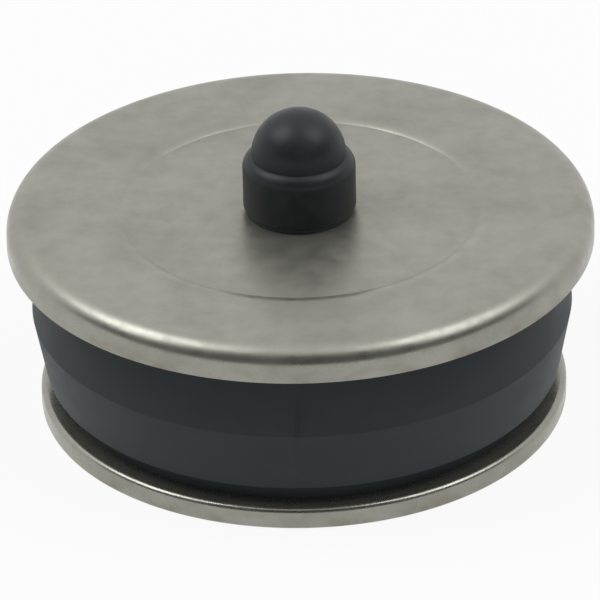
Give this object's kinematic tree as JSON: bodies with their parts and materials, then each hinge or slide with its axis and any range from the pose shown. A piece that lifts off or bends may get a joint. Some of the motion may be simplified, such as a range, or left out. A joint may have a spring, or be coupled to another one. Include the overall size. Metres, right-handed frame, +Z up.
{
  "type": "pipe plug",
  "caption": "Expansion pipe plug: steel plates squeeze a rubber ring between them when the nut under the domed cap is turned on the central bolt.",
  "frame": {"origin": "on the bolt's axis, at the level of the lower edge of the bottom plate's rim, which the plug stands on", "axes": "+Z up along the bolt, towards the cap; +X to the right and -Y towards the viewer in the picture"},
  "size_m": [0.113, 0.113, 0.0616],
  "materials": {
    "plate_steel": "dull zinc-plated sheet, cloudy and lightly scuffed",
    "bolt_steel": "zinc-plated, satin",
    "ring_rubber": "smooth moulded rubber, dull sheen",
    "washer_rubber": "matt",
    "cap_plastic": "fine-grained moulding with a soft sheen"
  },
  "bodies": {
    "base": {"bottom_plate": "plate_steel", "carriage_bolt": "bolt_steel", "seal_ring": "ring_rubber"},
    "lid": {"top_plate": "plate_steel", "sealing_washer": "washer_rubber"},
    "nut": {"hex_nut": "bolt_steel"},
    "cap": {"nut_cap": "cap_plastic"}
  },
  "joints": [
    {"name": "lid_slide", "type": "slide", "parent": "base", "child": "lid", "axis": [0, 0, -1], "range_m": [0, 0.0045], "deforming": ["seal_ring"]},
    {"name": "nut_turn", "type": "hinge", "parent": "lid", "child": "nut", "pos_m": [0, 0, 0.0458], "axis": [0, 0, -1], "range_deg": [0, 1080]},
    {"name": "cap_pull", "type": "slide", "parent": "nut", "child": "cap", "axis": [0, 0, 1], "range_m": [0, 0.025]}
  ],
  "couplings": [
    {"joint": "lid_slide", "follows": "nut_turn", "m_per_rad": 0.0002387}
  ]
}
